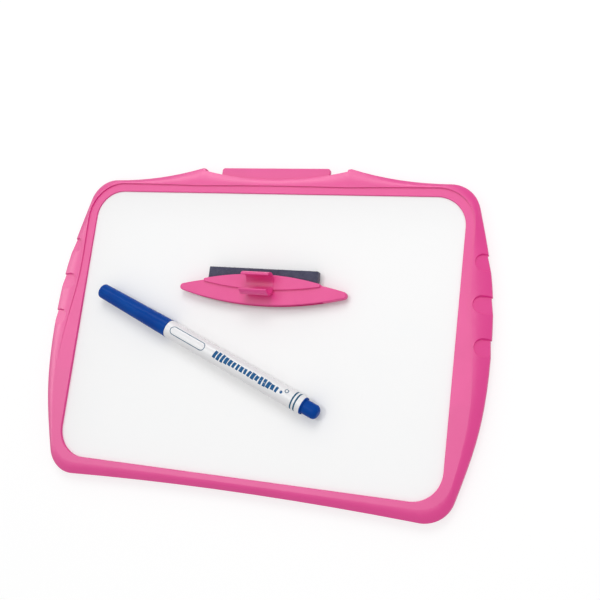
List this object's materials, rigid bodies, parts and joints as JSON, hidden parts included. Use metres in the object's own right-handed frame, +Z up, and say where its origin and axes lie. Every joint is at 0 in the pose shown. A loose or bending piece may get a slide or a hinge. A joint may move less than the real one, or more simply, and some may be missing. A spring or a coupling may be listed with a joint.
{
  "type": "double-sided whiteboard",
  "caption": "Small whiteboard that writes on both faces, in a moulded frame with finger notches and a docking tongue, with a slotted eraser that clips a pen and a capped marker.",
  "frame": {"origin": "under the middle of the whole object, on the surface that the board's rear face lies on", "axes": "+X to the right along the board's long side, +Y towards the edge with the docking tongue, +Z up out of the front face"},
  "size_m": [0.26, 0.1858, 0.0238],
  "materials": {
    "frame_plastic": "smooth moulded, semi-gloss",
    "fibre_core": "raw fibreboard",
    "writing_film": "glossy dry-erase film",
    "eraser_plastic": "smooth moulded, semi-gloss",
    "felt": "dense felt",
    "adhesive_tape": "foam tape",
    "cap_plastic": "smooth moulded, semi-gloss",
    "natural_plastic": "milky, unpainted",
    "barrel_plastic": "smooth white",
    "inked_fibre": "bonded fibre soaked in ink",
    "reservoir_wrap": "thin clear film"
  },
  "bodies": {
    "board": {"front_frame": "frame_plastic", "rear_frame": "frame_plastic", "core_board": "fibre_core", "front_writing_sheet": "writing_film", "rear_writing_sheet": "writing_film"},
    "eraser": {"eraser_front_shell": "eraser_plastic", "eraser_rear_shell": "eraser_plastic", "eraser_pad": "felt", "pad_tape": "adhesive_tape"},
    "marker_cap": {"marker_cap": "cap_plastic", "cap_inner_seal": "natural_plastic"},
    "marker_pen": {"marker_barrel": "barrel_plastic", "nib_holder": "natural_plastic", "marker_nib": "inked_fibre", "ink_reservoir": "inked_fibre", "reservoir_film": "reservoir_wrap", "marker_end_plug": "cap_plastic"}
  },
  "joints": [
    {"name": "eraser_lift", "type": "slide", "parent": "board", "child": "eraser", "axis": [0, 0, 1], "range_m": [0, 0.06]},
    {"name": "marker_lift", "type": "slide", "parent": "board", "child": "marker_cap", "axis": [0, 0, 1], "range_m": [0, 0.06]},
    {"name": "cap_pull", "type": "slide", "parent": "marker_cap", "child": "marker_pen", "axis": [0.9232, -0.3843, 0], "range_m": [0, 0.045]}
  ]
}
